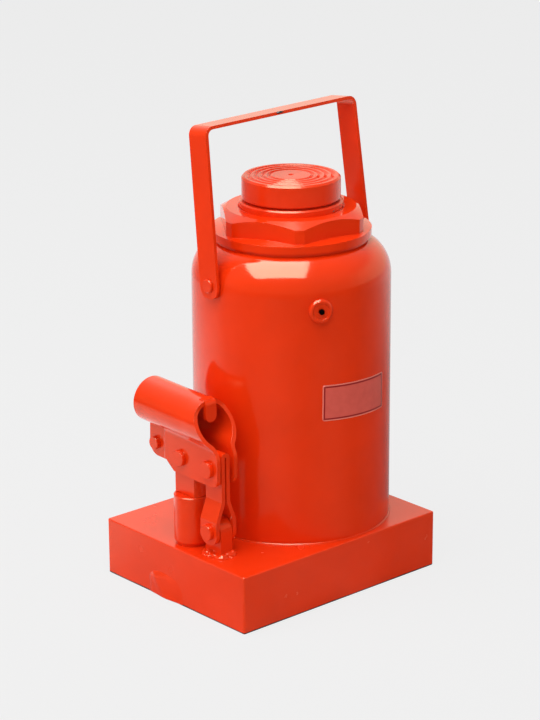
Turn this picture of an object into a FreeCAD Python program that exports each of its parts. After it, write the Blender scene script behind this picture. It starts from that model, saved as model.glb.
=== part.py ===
"""Hydraulic bottle jack, 50 tonne class, with a forged base, a lever pump and a carrying bail.

Frame: +Z up, origin on the ram axis at the floor. The pump stands on the -Y side
and the lever socket lies along X with its mouth towards -X. Millimetres.
"""
import FreeCAD, Part
import math
import os

V = FreeCAD.Vector

# Oil reservoir
tank_r = 70.0
tank_wall = 4.0
tank_top_z = 246.8
shoulder_r = 27.0
tank_mouth_step = 1.5
tank_weld_leg = 0.9
oil_space = 17.0

# Base block
base_side_margin = 4.2
base_front_margin = 17.0
base_back_margin = 1.0
base_height = 41.5
base_corner_r = 1.6
base_edge_r = 0.9
base_foot_chamfer = 0.6

# Pressure cylinder
cylinder_wall = 9.0
cylinder_seat_depth = 8.0
cylinder_gasket_t = 1.5
cylinder_top_drop = 3.0
thread_depth = 3.5

# Ram and piston
ram_step = 3.8
ram_top_z = 271.8
piston_height = 16.0
piston_seal_h = 5.0
piston_seal_depth = 3.2
guide_ring_h = 3.0
guide_ring_depth = 1.6
piston_seal_inset = 3.0
guide_ring_inset = 2.5
ram_edge = 1.0

# Saddle
saddle_step = 1.7
saddle_height = 15.7
saddle_neck_drop = 3.5
saddle_neck_h = 1.5
saddle_edge = 1.4
saddle_land_r = 13.6
saddle_groove_pitch = 4.75
saddle_groove_count = 4
saddle_groove_depth = 1.2
saddle_dimple_r = 2.2
saddle_stem_r = 12.0
saddle_stem_length = 14.0
snap_ring_wire = 2.0
snap_ring_rise = 3.0
snap_ring_split = 2.5

# Gland nut that closes the tank and guides the ram
nut_flange_overlap = 5.7
nut_flange_h = 5.3
nut_flat_inset = 8.7
nut_corner_over_flat = 5.5
nut_height = 20.3
nut_seat_cone_h = 1.8
nut_chamfer_angle = 30.0
nut_chamfer_in = 2.1
nut_turn_deg = 24.1
nut_skirt_length = 20.0
nut_mouth_chamfer = 0.9
gland_seal_w = 5.0
gland_seal_h = 7.0
wiper_w = 3.0
wiper_h = 4.0
tank_gasket_w = 3.4

# Filler plug in the tank wall
filler_angle_deg = -25.8
filler_z = 210.9
filler_hole_r = 6.2
filler_rim_r = 8.4
filler_rim_h = 3.0
filler_disc_r = 5.5
filler_disc_drop = 0.8
filler_core_r = 1.95
filler_core_depth = 6.5
filler_barb = 0.9
filler_barb_h = 2.0

# Pump
pump_from_tank = 24.0
pump_r = 12.4
pump_height = 34.7
pump_foot_r = 1.6
pump_gasket_t = 1.8
pump_gasket_r = 10.8
pump_shank_r = 9.0
pump_top_lip = 0.6
pump_seal_h = 3.6
pump_seal_w = 2.2
pump_seal_drop = 5.0
plunger_r = 6.0
plunger_tip_gap = 5.0
plunger_head_r = 11.6
tang_thickness = 12.0

# Lever linkage
pin_r = 4.5
pin_head_r = 5.7
pin_head_h = 3.0
pin_head_chamfer = 0.4
pin_tail_h = 4.6
pin_tail_r = 2.8
lug_pin_over_base = 18.1
link_length = 45.8
lever_arm = 28.8
link_width = 16.8
sheet = 3.0
link_fold_gap = 1.4
link_lug_gap = 0.75
link_side_shift = 0.35
link_top_over_pin = 11.5
link_end_under_pin = 9.4
link_bend_low = 7.9
link_bend_high = 21.8
link_bend_r = 4.0
lug_thickness = 10.4
lug_length = 16.0
lug_weld_leg = 3.2

# Lever socket, one pressed sheet: a rolled tube with two flanges
socket_tilt_deg = 1.5
tube_r = 16.1
tube_over_pins = 29.6
mouth_x = -43.0
flange_bottom = -12.0
flange_end = 9.8
ear_left = -40.6
ear_bottom = -9.6
ear_corner_r = 9.0
ear_rivet_from_pump = 33.6
ear_rivet_head_r = 4.7
joggle_start = -23.0
joggle_end = -17.0
flange_corner_r = 6.0
crease_x = 9.0
flare = 1.2
flange_pinch = 0.2
neck_r = 6.0
tab_width = 9.4
tab_length = 16.0
tab_bend_r = 2.6
tube_top_end = 19.2
end_cut_low = 9.2
end_cut_high = 38.8
end_cut_low_r = 12.0
end_cut_high_r = 14.0
seam_gap = 0.5

# Carrying bail
bail_pivot_x = -3.0
bail_pivot_z = 222.7
bail_strip_w = 18.0
bail_strip_t = 2.3
bail_rise = 109.0
bail_far_extra = 2.2
bail_tail = 9.4
bail_lean_deg = 6.8
bail_near_splay = 0.022
bail_far_splay = 0.040
bail_bend_r = 5.5
stud_r = 3.5
stud_head_r = 4.75
stud_head_h = 1.5

# Valve passages in the base
gallery_z = 9.5
gallery_r = 4.0
suction_x = 0.0
pressure_x = -18.0
riser_r = 3.0
pressure_riser_y = -12.0
plug_r = 6.5
plug_length = 9.5
weld_cap_half_w = 18.5
weld_cap_half_h = 9.6
weld_cap_t = 0.8
suction_seat_r = 3.0
suction_seat_z = 18.0
suction_ball_r = 4.5
chamber_r = 6.0
chamber_h = 5.5
cross_z = 21.0
cross_r = 3.0
discharge_seat_r = 2.5
discharge_seat_z = 16.0
discharge_ball_r = 4.0
discharge_pocket_r = 6.0
discharge_plug_inset = 1.0
discharge_plug_h = 4.0
discharge_spring_r = 3.0
discharge_wire_r = 0.45
release_from_tank = 25.0
release_z = 13.0
release_seat_x = -28.0
release_seat_r = 2.0
release_ball_r = 3.2
release_bore_r = 6.0
release_tip_chamfer = 2.0
return_from_tank = 34.0
release_collar_r = 8.2
release_collar_h = 4.0
release_square = 11.0
release_square_length = 11.0
release_seal_w = 2.0
release_seal_h = 3.0
release_seal_inset = 5.0
valve_spacing = 20.0
safety_seat_x = -28.0
safety_seat_r = 1.8
safety_ball_r = 3.2
safety_bore_r = 5.0
safety_return_from_tank = 22.0
safety_spring_r = 3.4
safety_wire_r = 0.65
safety_spring_turns = 5
safety_screw_length = 8.0
safety_screw_clear = 3.0
safety_cap_length = 7.0
safety_key_r = 2.9
safety_key_depth = 4.0
slot_w = 1.6
slot_depth = 1.5
strainer_r = 6.0
strainer_h = 5.0
strainer_wall = 0.8
strainer_port_r = 0.9
strainer_from_wall = 2.5

# Named clearances
running_gap = 0.1
side_gap = 0.3
seat_gap = 0.3
thread_gap = 0.1
closing_gap = 1.55
ball_gap = 0.02
bail_side_gap = 0.75
bail_side_shift = 0.45

# Places and sizes that follow from the sizes above
cylinder_r = tank_r - tank_wall - oil_space
bore_r = cylinder_r - cylinder_wall
ram_r = bore_r - ram_step
saddle_r = ram_r - saddle_step
saddle_neck_r = saddle_r - saddle_neck_drop
tank_mouth_r = cylinder_r + tank_mouth_step
nut_flange_r = tank_mouth_r + nut_flange_overlap
nut_flat_r = nut_flange_r - nut_flat_inset
nut_corner_r = nut_flat_r + nut_corner_over_flat
nut_chamfer_start_r = nut_flat_r - nut_chamfer_in
pump_y = -(tank_r + pump_from_tank)
front_y = pump_y - base_front_margin
back_y = tank_r + base_back_margin
left_x = -(tank_r + base_side_margin)
reservoir_riser_y = strainer_r + strainer_from_wall - (tank_r - tank_wall)
release_y = release_from_tank - tank_r
release_return_x = return_from_tank - tank_r
safety_y = release_y + valve_spacing
safety_return_x = safety_return_from_tank - tank_r
lug_pin_x = lever_arm
lug_pin_z = base_height + lug_pin_over_base
top_pin_z = lug_pin_z + link_length
cylinder_floor_z = base_height - cylinder_seat_depth
nut_seat_z = tank_top_z + seat_gap
nut_top_z = nut_seat_z + nut_height
pump_bottom_z = base_height + pump_gasket_t
pump_top_z = pump_bottom_z + pump_height
shank_bottom_z = suction_seat_z + chamber_h
flange_inner = tang_thickness / 2 + side_gap
flange_outer = flange_inner + sheet
plunger_pin_z = top_pin_z + lever_arm * math.sin(math.radians(socket_tilt_deg))


def cylinder(radius, low, high, x=0.0, y=0.0):
    """Upright cylinder between two heights."""
    return Part.makeCylinder(radius, high - low, V(x, y, low))


def cylinder_x(radius, x0, x1, y, z):
    """Cylinder along X between two X stations."""
    return Part.makeCylinder(radius, x1 - x0, V(x0, y, z), V(1, 0, 0))


def cylinder_y(radius, y0, y1, x, z):
    """Cylinder along Y between two Y stations."""
    return Part.makeCylinder(radius, y1 - y0, V(x, y0, z), V(0, 1, 0))


def ring(inner, outer, low, high, x=0.0, y=0.0):
    """Upright ring of rectangular section."""
    return cylinder(outer, low, high, x, y).cut(cylinder(inner, low, high, x, y))


def turned(profile, x=0.0, y=0.0):
    """Solid turned about an upright axis from (radius, height) corners."""
    points = [V(r, 0, z) for r, z in profile]
    face = Part.Face(Part.makePolygon(points + points[:1]))
    solid = face.revolve(V(0, 0, 0), V(0, 0, 1), 360)
    solid.translate(V(x, y, 0))
    return solid


def prism(corners, place, along):
    """Solid pushed along a vector from a closed outline placed in space."""
    points = [place(u, v) for u, v in corners]
    return Part.Face(Part.makePolygon(points + points[:1])).extrude(along)


def bent_outline(path, radii, thickness):
    """Edges round a strip that follows a path of straight runs and tangent bends."""
    half = thickness / 2
    runs = []
    bends = []
    start = V(path[0][0], path[0][1], 0)
    for before, corner, after, radius in zip(path, path[1:], path[2:], radii):
        p, q, r = V(*before, 0), V(*corner, 0), V(*after, 0)
        d1 = (q - p).normalize()
        d2 = (r - q).normalize()
        turn = math.atan2(d1.x * d2.y - d1.y * d2.x, d1.dot(d2))
        setback = radius * math.tan(abs(turn) / 2)
        runs.append((start, q - d1 * setback))
        start = q + d2 * setback
        side = V(-d1.y, d1.x, 0) * math.copysign(1, turn)
        bends.append((runs[-1][1] + side * radius, runs[-1][1], start, turn, radius))
    runs.append((start, V(*path[-1], 0)))

    def offset(sign):
        edges = []
        for index, (a, b) in enumerate(runs):
            d = (b - a).normalize()
            n = V(-d.y, d.x, 0) * (sign * half)
            edges.append(("line", a + n, b + n))
            if index < len(bends):
                centre, first, last, turn, radius = bends[index]
                reach = radius - sign * half * math.copysign(1, turn)
                middle = ((first + last) / 2 - centre).normalize()
                ends = [centre + (first - centre).normalize() * reach,
                        centre + (last - centre).normalize() * reach]
                edges.append(("arc", ends[0], centre + middle * reach, ends[1]))
        return edges

    left = offset(1)
    right = offset(-1)
    return left, right


def bent_strip(path, radii, thickness, place, along):
    """Solid strip of constant thickness, bent along a path and pushed along a vector."""
    left, right = bent_outline(path, radii, thickness)
    edges = []
    for kind, *points in left + right:
        points = [place(p.x, p.y) for p in points]
        if kind == "line":
            edges.append(Part.makeLine(points[0], points[1]))
        else:
            edges.append(Part.Arc(*points).toShape())
    for end in (0, -1):
        pick = 1 if end == 0 else -1
        a, b = left[end][pick], right[end][pick]
        edges.append(Part.makeLine(place(a.x, a.y), place(b.x, b.y)))
    wire = Part.Wire(Part.__sortEdges__(edges))
    return Part.Face(wire).extrude(along)


def rounded(corners, place):
    """Closed wire through (u, v, radius) corners, each corner rounded by its radius."""
    count = len(corners)
    ends = []
    for index, (u, v, radius) in enumerate(corners):
        q = V(u, v, 0)
        p = V(*corners[index - 1][:2], 0)
        r = V(*corners[(index + 1) % count][:2], 0)
        d1 = (q - p).normalize()
        d2 = (r - q).normalize()
        if radius == 0:
            ends.append((q, None, q))
            continue
        turn = math.atan2(d1.x * d2.y - d1.y * d2.x, d1.dot(d2))
        setback = radius * math.tan(abs(turn) / 2)
        a = q - d1 * setback
        b = q + d2 * setback
        centre = a + V(-d1.y, d1.x, 0) * math.copysign(radius, turn)
        middle = centre + ((a + b) / 2 - centre).normalize() * radius
        ends.append((a, middle, b))
    edges = []
    for index, (a, middle, b) in enumerate(ends):
        if middle is not None:
            edges.append(Part.Arc(place(a.x, a.y), place(middle.x, middle.y), place(b.x, b.y)).toShape())
        following = ends[(index + 1) % count][0]
        if (following - b).Length > 1e-6:
            edges.append(Part.makeLine(place(b.x, b.y), place(following.x, following.y)))
    return Part.Wire(edges)


def on_xz(y):
    """Placer for outlines drawn in a plane across Y."""
    return lambda u, v: V(u, y, v)


def on_yz(x):
    """Placer for outlines drawn in a plane across X."""
    return lambda u, v: V(x, u, v)


def rivet(x, z, y, half_span, shank_r, head_r):
    """Pin along Y with a flat head on each side, centred on the plane y."""
    shank = cylinder_y(shank_r, y - half_span, y + half_span, x, z)
    heads = []
    for side in (-1, 1):
        head = Part.makeCylinder(head_r, pin_head_h, V(x, y + side * half_span, z), V(0, side, 0))
        rim = [edge for edge in head.Edges
               if abs(edge.BoundBox.YMin - edge.BoundBox.YMax) < 1e-6
               and abs(edge.CenterOfMass.y - y) > half_span + pin_head_h / 2]
        heads.append(head.makeChamfer(pin_head_chamfer, rim))
    return shank.fuse(heads).removeSplitter()


def spring(wire_r, coil_r, length, turns):
    """Helical compression spring standing on the XY plane."""
    pitch = (length - 2 * wire_r) / turns
    helix = Part.makeHelix(pitch, pitch * turns, coil_r)
    section = Part.Wire(Part.makeCircle(wire_r, V(coil_r, 0, 0), V(0, 1, 0)))
    coil = Part.Wire(helix.Edges).makePipeShell([section], True, True)
    coil.translate(V(0, 0, wire_r))
    return coil


def make_base():
    """Forged base with the cylinder seat, the pump well and the drilled oil passages."""
    block = Part.makeBox(-2 * left_x, back_y - front_y, base_height, V(left_x, front_y, 0))
    upright = [e for e in block.Edges if e.BoundBox.ZLength > base_height / 2]
    block = block.makeFillet(base_corner_r, upright)
    top = [e for e in block.Edges if e.BoundBox.ZMin > base_height - 1e-6]
    block = block.makeFillet(base_edge_r, top)
    foot = [e for e in block.Edges if e.BoundBox.ZMax < 1e-6]
    block = block.makeChamfer(base_foot_chamfer, foot)
    seat = cylinder(cylinder_r + thread_gap, cylinder_floor_z, base_height)
    well = cylinder(pump_shank_r + thread_gap, shank_bottom_z, base_height, 0, pump_y)
    chamber = cylinder(chamber_r, suction_seat_z, shank_bottom_z, 0, pump_y)
    suction_seat = cylinder(suction_seat_r, gallery_z, suction_seat_z, suction_x, pump_y)
    cuts = [seat, well, chamber, suction_seat]
    for x, end_y, top_z in ((suction_x, reservoir_riser_y, base_height),
                            (pressure_x, pressure_riser_y, cylinder_floor_z)):
        cuts.append(cylinder_y(gallery_r, front_y, end_y, x, gallery_z))
        cuts.append(cylinder_y(plug_r, front_y, front_y + plug_length, x, gallery_z))
        cuts.append(cylinder(riser_r, gallery_z, top_z, x, end_y))
    cuts.append(cylinder_x(cross_r, left_x, 0, pump_y, cross_z))
    cuts.append(cylinder_x(plug_r, left_x, left_x + plug_length, pump_y, cross_z))
    cuts.append(cylinder(discharge_seat_r, discharge_seat_z, cross_z, pressure_x, pump_y))
    cuts.append(cylinder(discharge_pocket_r, 0, discharge_seat_z, pressure_x, pump_y))
    cuts.append(cylinder_x(release_seat_r, release_seat_x, pressure_x, release_y, release_z))
    cuts.append(cylinder_x(release_bore_r, left_x, release_seat_x, release_y, release_z))
    seal_x = left_x + release_seal_inset
    cuts.append(cylinder_x(release_bore_r + release_seal_w, seal_x, seal_x + release_seal_h,
                           release_y, release_z))
    cuts.append(cylinder(riser_r, release_z, base_height, release_return_x, release_y))
    cuts.append(cylinder_x(safety_seat_r, safety_seat_x, pressure_x, safety_y, gallery_z))
    cuts.append(cylinder_x(safety_bore_r, left_x, safety_seat_x, safety_y, gallery_z))
    cuts.append(cylinder(riser_r, gallery_z, base_height, safety_return_x, safety_y))
    return block.cut(cuts)


def make_gallery_plugs():
    """Three steel plugs pressed into the ends of the drillings."""
    plugs = []
    for x in (suction_x, pressure_x):
        plugs.append(cylinder_y(plug_r, front_y, front_y + plug_length, x, gallery_z))
    plugs.append(cylinder_x(plug_r, left_x, left_x + plug_length, pump_y, cross_z))
    return Part.makeCompound(plugs)


def make_gallery_weld():
    """Lens of weld metal over the two plugs in the front face, level with the foot."""
    middle = (suction_x + pressure_x) / 2
    low = base_foot_chamfer
    high = low + 2 * weld_cap_half_h
    place = on_xz(front_y - weld_cap_t)
    left, right = middle - weld_cap_half_w, middle + weld_cap_half_w
    centre_z = low + weld_cap_half_h * 0.8
    upper = Part.Arc(place(left, centre_z), place(middle, high), place(right, centre_z)).toShape()
    lower = Part.Arc(place(right, centre_z), place(middle, low), place(left, centre_z)).toShape()
    cap = Part.Face(Part.Wire([upper, lower])).extrude(V(0, weld_cap_t, 0))
    rim = [e for e in cap.Edges if e.BoundBox.YMax < front_y - weld_cap_t / 2]
    return cap.makeChamfer(weld_cap_t * 0.6, rim)


def make_suction_ball():
    lift = math.sqrt(suction_ball_r ** 2 - suction_seat_r ** 2)
    return Part.makeSphere(suction_ball_r, V(suction_x, pump_y, suction_seat_z + lift + ball_gap))


def discharge_ball_z():
    return discharge_seat_z - math.sqrt(discharge_ball_r ** 2 - discharge_seat_r ** 2) - ball_gap


def make_discharge_ball():
    return Part.makeSphere(discharge_ball_r, V(pressure_x, pump_y, discharge_ball_z()))


def make_discharge_plug():
    """Screw plug under the discharge valve, let into the underside."""
    plug = cylinder(discharge_pocket_r - thread_gap / 2, discharge_plug_inset,
                    discharge_plug_inset + discharge_plug_h, pressure_x, pump_y)
    slot = Part.makeBox(2 * discharge_pocket_r, slot_w, slot_depth,
                        V(pressure_x - discharge_pocket_r, pump_y - slot_w / 2, discharge_plug_inset))
    return plug.cut(slot)


def make_discharge_spring():
    low = discharge_plug_inset + discharge_plug_h
    high = discharge_ball_z() - math.sqrt(discharge_ball_r ** 2 - discharge_spring_r ** 2)
    coil = spring(discharge_wire_r, discharge_spring_r, high - low - 0.3, 2)
    coil.translate(V(pressure_x, pump_y, low + 0.05))
    return coil


def release_ball_x():
    return release_seat_x - math.sqrt(release_ball_r ** 2 - release_seat_r ** 2) - ball_gap


def make_release_ball():
    return Part.makeSphere(release_ball_r, V(release_ball_x(), release_y, release_z))


def make_release_screw():
    """Release screw with a collar and a square that the lever's notched end turns."""
    tip = release_ball_x() - release_ball_r - side_gap
    stem = cylinder_x(release_bore_r - running_gap, left_x, tip, release_y, release_z)
    nose = [e for e in stem.Edges if e.BoundBox.XMin > tip - 1e-6]
    stem = stem.makeChamfer(release_tip_chamfer, nose)
    collar_x = left_x - side_gap - release_collar_h
    collar = cylinder_x(release_collar_r, collar_x, left_x - side_gap, release_y, release_z)
    neck = cylinder_x(release_bore_r - running_gap, left_x - side_gap, left_x, release_y, release_z)
    half = release_square / 2
    end_x = collar_x - release_square_length
    square = Part.makeBox(release_square_length, release_square, release_square,
                          V(end_x, release_y - half, release_z - half))
    tips = [e for e in square.Edges if e.BoundBox.XMax < end_x + 1e-6]
    square = square.makeChamfer(1.0, tips)
    return stem.fuse([neck, collar, square]).removeSplitter()


def make_release_seal():
    x = left_x + release_seal_inset
    outer = cylinder_x(release_bore_r + release_seal_w, x, x + release_seal_h, release_y, release_z)
    return outer.cut(cylinder_x(release_bore_r, x, x + release_seal_h, release_y, release_z))


def safety_ball_x():
    return safety_seat_x - math.sqrt(safety_ball_r ** 2 - safety_seat_r ** 2) - ball_gap


def make_safety_ball():
    return Part.makeSphere(safety_ball_r, V(safety_ball_x(), safety_y, gallery_z))


def safety_screw_end():
    return left_x + safety_cap_length + safety_screw_clear + safety_screw_length


def make_safety_spring():
    low = safety_screw_end() + running_gap
    high = safety_ball_x() - safety_ball_r * 0.6 - side_gap
    coil = spring(safety_wire_r, safety_spring_r, high - low, safety_spring_turns)
    coil.rotate(V(0, 0, 0), V(0, 1, 0), 90)
    coil.translate(V(low, safety_y, gallery_z))
    return coil


def make_safety_screw():
    """Setting screw behind the overload spring, with a driver slot."""
    high = safety_screw_end()
    low = high - safety_screw_length
    screw = cylinder_x(safety_bore_r - thread_gap / 2, low, high, safety_y, gallery_z)
    slot = Part.makeBox(slot_depth, slot_w, 2 * safety_bore_r,
                        V(low, safety_y - slot_w / 2, gallery_z - safety_bore_r))
    return screw.cut(slot)


def make_safety_cap():
    """Cap screw that closes the overload valve's bore flush with the side."""
    cap = cylinder_x(safety_bore_r - thread_gap / 2, left_x, left_x + safety_cap_length, safety_y, gallery_z)
    key = [(safety_key_r * math.cos(math.radians(a)), safety_key_r * math.sin(math.radians(a)))
           for a in range(0, 360, 60)]
    socket = prism(key, lambda u, v: V(left_x, safety_y + u, gallery_z + v), V(safety_key_depth, 0, 0))
    return cap.cut(socket)


def make_strainer():
    """Perforated cup that keeps dirt out of the suction riser."""
    cup = cylinder(strainer_r, base_height, base_height + strainer_h, suction_x, reservoir_riser_y)
    hollow = cylinder(strainer_r - strainer_wall, base_height, base_height + strainer_h - strainer_wall,
                      suction_x, reservoir_riser_y)
    cup = cup.cut(hollow)
    ports = []
    for k in range(3):
        turn = math.radians(60 * k)
        along = V(math.cos(turn), math.sin(turn), 0)
        start = V(suction_x, reservoir_riser_y, base_height + strainer_h / 2) - along * strainer_r * 1.1
        ports.append(Part.makeCylinder(strainer_port_r, strainer_r * 2.2, start, along))
    return cup.cut(ports)


def filler_axis():
    """Outward direction of the filler plug on the tank wall."""
    turn = math.radians(filler_angle_deg)
    return V(math.cos(turn), math.sin(turn), 0)


def make_tank():
    """Drawn reservoir shell with a rounded shoulder and an open mouth for the cylinder."""
    centre_r = tank_r - shoulder_r
    centre_z = tank_top_z - shoulder_r
    fold = math.sqrt(0.5)

    def quarter(reach):
        return (V(centre_r + reach, 0, centre_z),
                V(centre_r + reach * fold, 0, centre_z + reach * fold),
                V(centre_r, 0, centre_z + reach))

    outer = quarter(shoulder_r)
    inner = quarter(shoulder_r - tank_wall)
    rim_out = V(tank_r, 0, base_height)
    rim_in = V(tank_r - tank_wall, 0, base_height)
    top_out = V(0, 0, tank_top_z)
    top_in = V(0, 0, tank_top_z - tank_wall)
    edges = [Part.makeLine(rim_in, rim_out),
             Part.makeLine(rim_out, outer[0]),
             Part.Arc(*outer).toShape(),
             Part.makeLine(outer[2], top_out),
             Part.makeLine(top_out, top_in),
             Part.makeLine(top_in, inner[2]),
             Part.Arc(*inner).toShape(),
             Part.makeLine(inner[0], rim_in)]
    shell = Part.Face(Part.Wire(edges)).revolve(V(0, 0, 0), V(0, 0, 1), 360)
    mouth = cylinder(tank_mouth_r, centre_z, tank_top_z + 1)
    port = Part.makeCylinder(filler_hole_r, 2 * tank_wall,
                             filler_axis() * (tank_r - 1.5 * tank_wall) + V(0, 0, filler_z), filler_axis())
    return shell.cut([mouth, port])


def make_tank_weld():
    """Thin weld bead where the tank meets the base."""
    return turned([(tank_r, base_height), (tank_r + tank_weld_leg, base_height),
                   (tank_r, base_height + tank_weld_leg)])


def make_tank_gasket():
    """Seal crushed between the tank's mouth and the nut's flange."""
    blank = ring(tank_mouth_r, tank_mouth_r + tank_gasket_w, nut_seat_z - tank_wall, nut_seat_z)
    centre_r = tank_r - shoulder_r
    dome = Part.makeTorus(centre_r, shoulder_r, V(0, 0, tank_top_z - shoulder_r))
    return blank.cut(dome)


def make_filler_plug():
    """Push-in plug: a domed rim round a flat disc, a moulded core hole and an inner barb."""
    root = tank_r - tank_wall
    disc_h = filler_rim_h - filler_disc_drop
    rim_in = (filler_disc_r + filler_rim_r) / 2
    profile = [(0, disc_h - filler_core_depth), (filler_core_r, disc_h - filler_core_depth),
               (filler_core_r, disc_h), (filler_disc_r, disc_h),
               (filler_disc_r + 0.5, filler_rim_h - 0.2), (rim_in, filler_rim_h),
               (filler_rim_r - 0.7, filler_rim_h - 0.5), (filler_rim_r, filler_rim_h / 2),
               (filler_rim_r, -tank_wall / 2), (0, -tank_wall / 2)]
    rim = turned(profile)
    rim.Placement = FreeCAD.Placement(V(0, 0, 0), FreeCAD.Rotation(V(0, 0, 1), filler_axis()))
    rim.translate(filler_axis() * tank_r + V(0, 0, filler_z))
    rim = rim.cut(cylinder(tank_r, filler_z - 2 * filler_rim_r, filler_z + 2 * filler_rim_r))
    low = root - filler_barb_h
    base_point = V(0, 0, filler_z)
    shank = Part.makeCylinder(filler_hole_r, tank_r + filler_rim_h / 2 - low,
                              filler_axis() * low + base_point, filler_axis())
    core = Part.makeCylinder(filler_core_r, filler_core_depth,
                             filler_axis() * (tank_r + disc_h - filler_core_depth) + base_point, filler_axis())
    barb = Part.makeCone(filler_hole_r - filler_barb, filler_hole_r + filler_barb, filler_barb_h,
                         filler_axis() * low + base_point, filler_axis())
    barb = barb.cut(ring(root, tank_r, filler_z - 2 * filler_rim_r, filler_z + 2 * filler_rim_r))
    return rim.fuse([shank, barb]).cut(core).removeSplitter()


def make_pressure_cylinder():
    """Thick-walled tube seated in the base, with an internal thread for the nut's skirt."""
    low = cylinder_floor_z + cylinder_gasket_t
    high = nut_seat_z - cylinder_top_drop
    tube = ring(bore_r, cylinder_r, low, high)
    thread_low = nut_seat_z - nut_skirt_length - 2 * thread_gap
    return tube.cut(cylinder(bore_r + thread_depth, thread_low, high))


def make_cylinder_gasket():
    return ring(bore_r + 0.5, cylinder_r, cylinder_floor_z, cylinder_floor_z + cylinder_gasket_t)


def gland_seal_z():
    return nut_seat_z - nut_skirt_length + gland_seal_h


def wiper_z():
    return nut_top_z - 2.2 * wiper_h


def make_gland_nut():
    """Nut turned from round bar: threaded skirt, round flange and a hexagon with a turned chamfer."""
    flange_top = nut_seat_z + nut_flange_h
    skirt_r = bore_r + thread_depth - thread_gap
    body = turned([(0, nut_seat_z - nut_skirt_length), (skirt_r, nut_seat_z - nut_skirt_length),
                   (skirt_r, nut_seat_z), (nut_flange_r, nut_seat_z), (nut_flange_r, flange_top),
                   (nut_flat_r, flange_top + nut_seat_cone_h), (0, flange_top + nut_seat_cone_h)])
    slope = math.tan(math.radians(nut_chamfer_angle))
    chamfer_low = nut_top_z - (nut_corner_r - nut_chamfer_start_r) * slope
    blank = turned([(0, nut_seat_z), (nut_corner_r, nut_seat_z), (nut_corner_r, chamfer_low),
                    (nut_chamfer_start_r, nut_top_z), (0, nut_top_z)])
    across = nut_flat_r / math.cos(math.radians(30))
    corners = [(across * math.cos(math.radians(nut_turn_deg + a)),
                across * math.sin(math.radians(nut_turn_deg + a))) for a in range(0, 360, 60)]
    hexagon = prism(corners, lambda u, v: V(u, v, nut_seat_z), V(0, 0, nut_height))
    nut = body.fuse(blank.common(hexagon))
    guide_r = ram_r + running_gap
    mouth = turned([(0, nut_top_z - nut_mouth_chamfer), (guide_r, nut_top_z - nut_mouth_chamfer),
                    (guide_r + nut_mouth_chamfer, nut_top_z), (0, nut_top_z)])
    low, high = nut_seat_z - nut_skirt_length, nut_top_z
    seal = cylinder(guide_r + gland_seal_w, gland_seal_z(), gland_seal_z() + gland_seal_h)
    wiper = cylinder(guide_r + wiper_w, wiper_z(), wiper_z() + wiper_h)
    return nut.cut([cylinder(guide_r, low, high), mouth, seal, wiper]).removeSplitter()


def make_gland_seal():
    """Lip seal in the nut, grooved on its pressure side."""
    inner = ram_r + running_gap
    low = gland_seal_z()
    body = ring(inner, inner + gland_seal_w, low, low + gland_seal_h)
    lip = turned([(inner + gland_seal_w * 0.3, low), (inner + gland_seal_w * 0.7, low),
                  (inner + gland_seal_w * 0.5, low + gland_seal_h * 0.45)])
    return body.cut(lip)


def make_wiper():
    inner = ram_r + running_gap
    return ring(inner, inner + wiper_w, wiper_z(), wiper_z() + wiper_h)


def ram_foot_z():
    return cylinder_floor_z + seat_gap


def make_ram():
    """Solid ram with a grooved piston at its foot and a blind bore for the saddle's stem."""
    foot = ram_foot_z()
    piston_r = bore_r - running_gap
    seal_low = foot + piston_seal_inset
    guide_low = foot + piston_height - guide_ring_inset - guide_ring_h
    outline = [(0, foot), (piston_r - ram_edge, foot), (piston_r, foot + ram_edge),
               (piston_r, seal_low), (piston_r - piston_seal_depth, seal_low),
               (piston_r - piston_seal_depth, seal_low + piston_seal_h), (piston_r, seal_low + piston_seal_h),
               (piston_r, guide_low), (piston_r - guide_ring_depth, guide_low),
               (piston_r - guide_ring_depth, guide_low + guide_ring_h), (piston_r, guide_low + guide_ring_h),
               (piston_r, foot + piston_height), (ram_r, foot + piston_height),
               (ram_r, ram_top_z - ram_edge), (ram_r - ram_edge, ram_top_z), (0, ram_top_z)]
    stem = cylinder(saddle_stem_r + thread_gap, ram_top_z - saddle_stem_length - 1.0, ram_top_z)
    groove = cylinder(saddle_stem_r + snap_ring_wire / 2, snap_ring_z(), snap_ring_z() + snap_ring_wire)
    return turned(outline).cut([stem, groove])


def snap_ring_z():
    return ram_top_z - saddle_stem_length + snap_ring_rise


def make_piston_seal():
    """Cup seal in the piston's groove, its lip towards the oil."""
    low = ram_foot_z() + piston_seal_inset
    outer = bore_r - running_gap / 2
    inner = bore_r - running_gap - piston_seal_depth
    width = outer - inner
    body = ring(inner, outer, low, low + piston_seal_h)
    lip = turned([(inner + width * 0.3, low), (inner + width * 0.7, low),
                  (inner + width * 0.5, low + piston_seal_h * 0.5)])
    return body.cut(lip)


def make_guide_ring():
    low = ram_foot_z() + piston_height - guide_ring_inset - guide_ring_h
    inner = bore_r - running_gap - guide_ring_depth
    return ring(inner, bore_r - running_gap / 2, low, low + guide_ring_h)


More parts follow.
